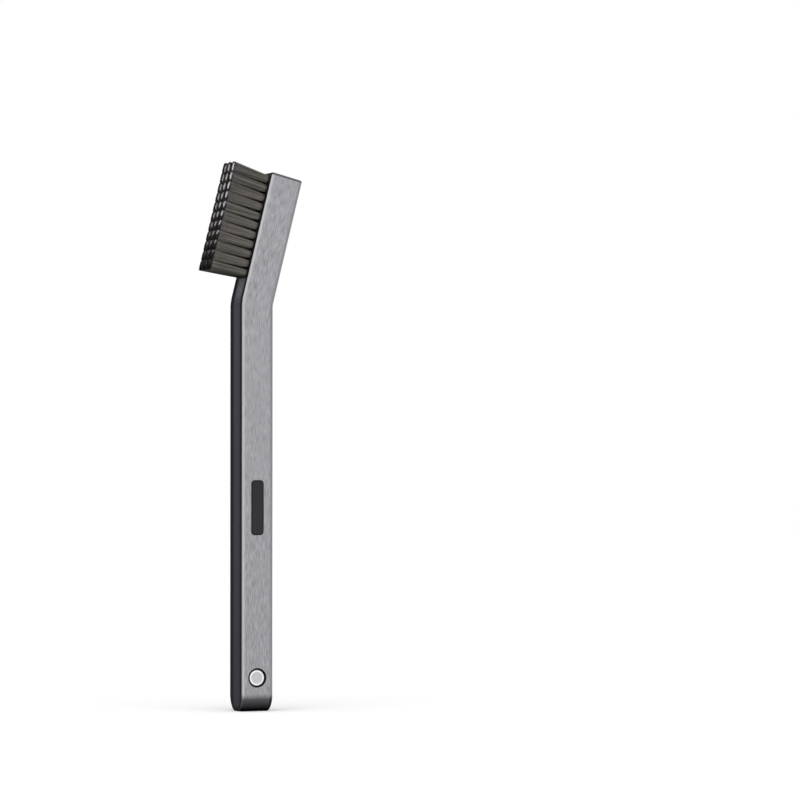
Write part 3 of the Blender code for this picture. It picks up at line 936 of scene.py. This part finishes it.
# painted light where the left side leans under the tufts
LEAN_PAINTED_LIGHT = (0.13, 0.1265, 0.145)
LEANING_RISE, LEANING_END = (0.1235, 0.1275), (0.15, 0.14)
SPECK_CONTRAST = 0.35
BORDER_TONE = (0.01, 0.01, 0.012, 1)
BACK_BORDER, FRONT_BORDER = (3.4, 1.9), (2.5, 1.1)  # from the edge to their start and full tone
END_TONE = (0.115, 0.113, 0.122, 1)
END_START = 0.15  # the least height of the end's band
SIDE_EDGE = 0.2  # millimetres past the flat of the side
# where painted shade turns the sides black at the foot
FOOT_SHADE = 0.0019, 0.0005
CUT_TONES = (0.31, 0.306, 0.324, 1), (0.43, 0.422, 0.44, 1)
CUT_MARKS = (0.05, 2.0)
# painted shade of the tufts on the face round the holes
HOLE_SHADE_TONES = (0.003, 0.003, 0.003, 1), (0.009, 0.009, 0.01, 1)


def specked(specks, tone):
    """A tone that the specks make darker and paler."""
    contrast = (1 - SPECK_CONTRAST, 1 + SPECK_CONTRAST)
    return mixed(specks, *((*(share * part for part in tone), 1) for share in contrast))


def dark_metal():
    """across counts round the bar from the middle of the front, so a quarter round is the right side."""
    metal = new_material("dark_sides", Metallic=0.0, Specular_IOR_Level=0.02)
    place = object_place(metal)
    level = axis(place, "Z")
    tooth = noise(place, 9000, 2.0)
    specks = span(noise(place, 2200), *NOISE_RANGE)
    shade, *higher = (specked(specks, tone) for tone in SIDE_TONES)
    for tone, rise in zip(higher, SIDE_RISES):
        shade = mixed(span(level, *rise), shade, tone)
    across = axis(place_on_bar(metal), "X")
    quarter = MM * (FACE_HALF + math.sqrt(2) * EDGE + SIDE_HALF)
    side = MM * SIDE_HALF
    on_left = product(maths("GREATER_THAN", across, 2 * quarter), span(level, *LEANING_END))
    # painted light on the left side where it leans, under the tufts
    painted_lean_light = product(span(level, *LEANING_RISE), on_left)
    shade = mixed(painted_lean_light, shade, specked(specks, LEAN_PAINTED_LIGHT))
    backwards = maths("SUBTRACT", maths("PINGPONG", across, 2 * quarter), quarter)
    behind = span(backwards, side - BACK_BORDER[0], side - BACK_BORDER[1])
    in_front = span(backwards, FRONT_BORDER[0] - side, FRONT_BORDER[1] - side)
    shade = mixed(maths("MAXIMUM", behind, in_front), shade, BORDER_TONE)
    past_side = maths("GREATER_THAN", maths("ABSOLUTE", backwards), side + SIDE_EDGE)
    end_band = product(past_side, maths("GREATER_THAN", level, END_START))
    shade = mixed(end_band, shade, END_TONE)
    # painted shade turns the sides black at the foot, as on the nose
    surface(mixed(span(level, *FOOT_SHADE), shade, NOSE_SHADE_TONES[1]), tooth, (0.46, 0.58), 0.000002)
    return metal


def cut_metal():
    metal = new_material("cut_edges", Metallic=1.0)
    marks = drawn_out(place_on_bar(metal), CUT_MARKS)
    # the cut edges share the painted shade of the nose
    surface(with_nose_shade(metal, mixed(marks, *CUT_TONES), CUT_NOSE_SHADE_TONES), marks, (0.26, 0.36))
    return metal


# painted shade of the tufts, round the holes
hole_shade_metal = speckled("hole_shade_face", HOLE_SHADE_TONES, 1500, (0.6, 0.8), Metallic=0.2)
for metal in (brushed_metal(), dark_metal(), cut_metal(), hole_shade_metal):
    HANDLE.data.materials.append(metal)
print("handle materials:", [metal.name for metal in HANDLE.data.materials])

# %% [markdown]
# The bristles are a dull grey-brown fibre. Each has its own tone, and painted shade makes it nearly black
# where it leaves the glue. Painted light greys its end in the first rows, and painted shade darkens it in
# the last rows and at the rim. The cut ends are dark, black towards a tuft's far rim by painted shade, and
# pale in pads of painted light.

# %% Bristles and glue
FIBRE_TONES = (0.083, 0.077, 0.067, 1), (0.241, 0.223, 0.197, 1)
FIBRE_UNLIT = (0.02, 0.019, 0.018, 1)
# painted shade near the roots
ROOT_SHADE = (0.008, 0.008, 0.007, 1)
# painted light on the ends of the filaments in the first rows
PAINTED_TIP_LIGHT = (0.112, 0.104, 0.118, 1)
# painted shade on the ends of the filaments at the rim and in the last rows
TIP_SHADE = (0.008, 0.007, 0.007, 1)
# the cut ends' own dark tone, then painted shade, black towards the far rim
END_TONES = (0.056, 0.053, 0.055, 1), (0.032, 0.03, 0.031, 1), (0.001, 0.001, 0.001, 1)
END_FADES = (1.0, 1.5), (1.8, 2.4)  # places where painted shade takes each to the next, black at the far rim
# painted light on the pads of the cut ends
PAINTED_PAD_LIGHT = (0.9, 0.87, 0.87, 1)
PAD_RIM = 0.95, 0.8  # places where the painted light pad begins
UNLIT_PAD_SHRINK = 0.25  # how much smaller the painted light pad is where the tip light is weak
GLUE_TONES = (0.006, 0.006, 0.006, 1), (0.016, 0.015, 0.014, 1)


def attribute(material, name):
    return add_node(material.node_tree, "Attribute", "Fac", attribute_name=name)


def fibre_material():
    """Spans of height are shares of a filament's length, from its foot to its cut end."""
    fibre = new_material("bristle_fibre", Metallic=0.0, Specular_IOR_Level=0.12)
    tone = attribute(fibre, "fibre_tone")
    height = attribute(fibre, "fibre_height")
    tip_light = attribute(fibre, "fibre_tip_light")
    paler = maths("ADD", tone, span(height, 0.05, 0.3, 0.25, 0.0), clamp=True)
    colour = mixed(paler, *FIBRE_TONES)
    # painted shade on the lowest filaments of the last row
    lit = maths("MAXIMUM", span(tone, -1.0, 0.0), span(height, 0.25, 0.85, 0.0, 0.8))
    colour = mixed(lit, FIBRE_UNLIT, colour)
    # painted shade near the root
    colour = mixed(span(height, 0.04, 0.1), ROOT_SHADE, colour)
    # painted light greys the filaments' ends in the first rows
    lit_tips = product(span(height, 0.75, 0.95, 0.0, 0.7), tip_light)
    colour = mixed(lit_tips, colour, PAINTED_TIP_LIGHT)
    # painted shade on the ends at the rim of the tuft and in the last rows
    outside = span(attribute(fibre, "fibre_reach"), 0.8, 1.0)
    outer = maths("ADD", maths("SUBTRACT", 1.0, tip_light), outside, clamp=True)
    near_end = product(span(height, 0.945, 0.985), outer)
    into("Base Color", mixed(near_end, colour, TIP_SHADE))
    into("Roughness", span(tone, 0.0, 1.0, 0.62, 0.42))
    return fibre


def end_material():
    cut = new_material("bristle_ends", Metallic=0.0, Roughness=0.7, Specular_IOR_Level=0.0)
    tip_light = attribute(cut, "fibre_tip_light")
    reach = attribute(cut, "fibre_reach")
    # painted light: a pale pad on the end, smaller where the tip light is weak
    shrunk = maths("ADD", reach, product(maths("SUBTRACT", 1.0, tip_light), UNLIT_PAD_SHRINK))
    pale = product(span(shrunk, *PAD_RIM), tip_light)
    # painted shade, black towards the far rim of the tuft
    dark = END_TONES[0]
    for tone, fade in zip(END_TONES[1:], END_FADES):
        dark = mixed(span(reach, *fade), dark, tone)
    into("Base Color", mixed(pale, dark, PAINTED_PAD_LIGHT))
    return cut


glue = speckled("dark_glue", GLUE_TONES, 4000, (0.35, 0.55), 0.00002, detail=2.0, Metallic=0.0)
tuft_materials = (fibre_material(), end_material(), glue)
for tuft in TUFTS:
    for material in tuft_materials:
        tuft.data.materials.append(material)
print("tuft materials:", [material.name for material in tuft_materials])

# %% [markdown]
# The plate's rim is smooth and black, and its field a shade lighter with a fine tooth. The ring is dull
# black. The disc is pale satin metal with the faint circles that turning leaves, a bright polished rim and
# painted shade at its edge, for the shadow of the gap round it.

# %% Plate, ring and disc
RIM_TONES = (0.003, 0.003, 0.0035, 1), (0.006, 0.006, 0.007, 1)
FIELD_TONES = (0.013, 0.013, 0.015, 1), (0.021, 0.021, 0.024, 1)
RING_TONES = (0.003, 0.003, 0.003, 1), (0.006, 0.006, 0.006, 1)
DISC_TONES = (0.42, 0.42, 0.43, 1), (0.68, 0.68, 0.69, 1)
POLISHED_TONE = (0.93, 0.93, 0.94, 1)
# painted shade at the disc's edge, for the shadow of the gap round it
DISC_GAP_SHADE = (0.03, 0.03, 0.03, 1)
POLISHED_START = DISC_RADIUS - 0.00066, DISC_RADIUS - 0.00052
DISC_GAP_SHADE_START = DISC_RADIUS - 0.00015, DISC_RADIUS - 0.00006
CIRCLE_FINENESS = 90000  # radians a metre: a mark every 0.07 mm


def disc_finish():
    """The distance from the disc's middle decides where the marks, the rim and the painted shade of the
    edge lie.
    """
    finish = new_material("pale_disc", Metallic=0.5)
    place = object_place(finish)
    moved = node("Mapping", 0, {"Vector": place, "Location": (0, 0, -DISC_LEVEL)})
    x, z = axis(moved, "X"), axis(moved, "Z")
    radius = maths("SQRT", maths("ADD", product(x, x), product(z, z)))
    circles = maths("SINE", product(radius, CIRCLE_FINENESS))
    tone = maths("ADD", noise(place, 2500), product(circles, 0.1), clamp=True)
    colour = mixed(tone, *DISC_TONES)
    colour = mixed(span(radius, *POLISHED_START), colour, POLISHED_TONE)
    # painted shade at the disc's edge
    into("Base Color", mixed(span(radius, *DISC_GAP_SHADE_START), colour, DISC_GAP_SHADE))
    into("Roughness", span(tone, 0.2, 0.8, 0.38, 0.5))
    bumped(circles, 0.000002)
    return finish


DULL = {"Metallic": 0.0, "Specular_IOR_Level": 0.25}
BADGE.data.materials.append(speckled("badge_rim", RIM_TONES, 6000, (0.35, 0.5), 0.000001, **DULL))
BADGE.data.materials.append(speckled("badge_field", FIELD_TONES, 9000, (0.45, 0.6), 0.000002, **DULL))
RING.data.materials.append(speckled("ring_black", RING_TONES, 6000, (0.45, 0.6), 0.000002, **DULL))
DISC.data.materials.append(disc_finish())
print("inlay materials:", [piece.data.materials[0].name for piece in (BADGE, RING, DISC)])

# %% [markdown]
# The brush stands on a plain white floor in front of a white backdrop. Through Light Path, both look paler
# to the camera and in reflections than they are to the light on the brush, and the floor keeps the soft
# shadow.

# %% Floor and backdrop
FLOOR_HALF = 6.0
FLOOR_COLOUR, FLOOR_GLOW = (0.86, 0.86, 0.86, 1), 0.12
BACKDROP_COLOUR, BACKDROP_GLOW = (0.0, 0.0, 0.0, 1), 1.0
BACKDROP_DISTANCE = 2.6
BACKDROP_HALF = (1.0, 0.9)
BACKDROP_RISE = 0.9  # of its middle, as a share of its half height
SQUARE = ((-1, -1), (1, -1), (1, 1), (-1, 1))


def seen_share(material):
    """1 for rays from the camera and in reflections, 0 for the rays that carry light to the brush."""
    camera, glossy, through = (add_node(material.node_tree, "LightPath", f"Is {kind} Ray")
                               for kind in ("Camera", "Glossy", "Transmission"))
    return maths("ADD", maths("ADD", camera, glossy), through, clamp=True)


def add_sheet(name, corners, colour, glow):
    """A flat sheet of one face, with a plain colour and a glow that only shows where it is looked at."""
    material = new_material(name, Base_Color=colour, Roughness=1.0, Specular_IOR_Level=0.0,
                            Emission_Color=(1, 1, 1, 1))
    into("Emission Strength", product(seen_share(material), glow))
    mesh = mesh_from(name, np.array(corners), [np.arange(4)[None]], weld=False)
    mesh.materials.append(material)
    sheet = new_object(name, mesh)
    return sheet


def facing_backdrop():
    """The backdrop's corners, square to the camera's view behind the brush."""
    away = np.array((SIGHT.x, SIGHT.y, 0)) / math.hypot(SIGHT.x, SIGHT.y)
    side = np.array((away[1], -away[0], 0))
    up = np.array((0, 0, 1))
    wide, high = BACKDROP_HALF
    return [BACKDROP_DISTANCE * away + x * wide * side + (y + BACKDROP_RISE) * high * up for x, y in SQUARE]


floor_corners = [(x * FLOOR_HALF, y * FLOOR_HALF, 0) for x, y in SQUARE]
FLOOR = add_sheet("floor", floor_corners, FLOOR_COLOUR, FLOOR_GLOW)
BACKDROP = add_sheet("backdrop", facing_backdrop(), BACKDROP_COLOUR, BACKDROP_GLOW)
BACKDROP.visible_diffuse = False
BACKDROP.visible_shadow = False
print("stage:", FLOOR.name, "and", BACKDROP.name)

# %% [markdown]
# Three wide, soft lamps and an even grey surround give the plain light of a product picture: the main one
# from the front left and above, a second from the front right, which the front face mirrors, and a low one
# from the left that catches the cut edge and the ends of the bristles.

# %% Light
SURROUND = 0.45
LAMPS = (("main", -38, 60, 1.8, 80), ("second", 25, 30, 0.5, 70), ("low_left", -66, 12, 0.45, 50))


def add_sun(name, azimuth, elevation, strength, spread):
    """A soft, even lamp. Azimuth 0 is straight in front of the brush, and negative ones are to its left."""
    light = bpy.data.lights.new(name, "SUN")
    light.energy = strength
    light.angle = math.radians(spread)
    towards = direction(math.radians(azimuth), math.radians(elevation), -1)
    new_object(name, light).rotation_euler = towards.to_track_quat("Z", "Y").to_euler()


world = bpy.data.worlds.new("surround")
world.use_nodes = True
world.node_tree.nodes["Background"].inputs["Color"].default_value = (SURROUND, SURROUND, SURROUND, 1)
bpy.context.scene.world = world
for lamp in LAMPS:
    add_sun(*lamp)
print("lamps:", [lamp[0] for lamp in LAMPS])

# %% [markdown]
# Last, the scene is brought up to date.

# %% Finish
bpy.context.view_layer.update()
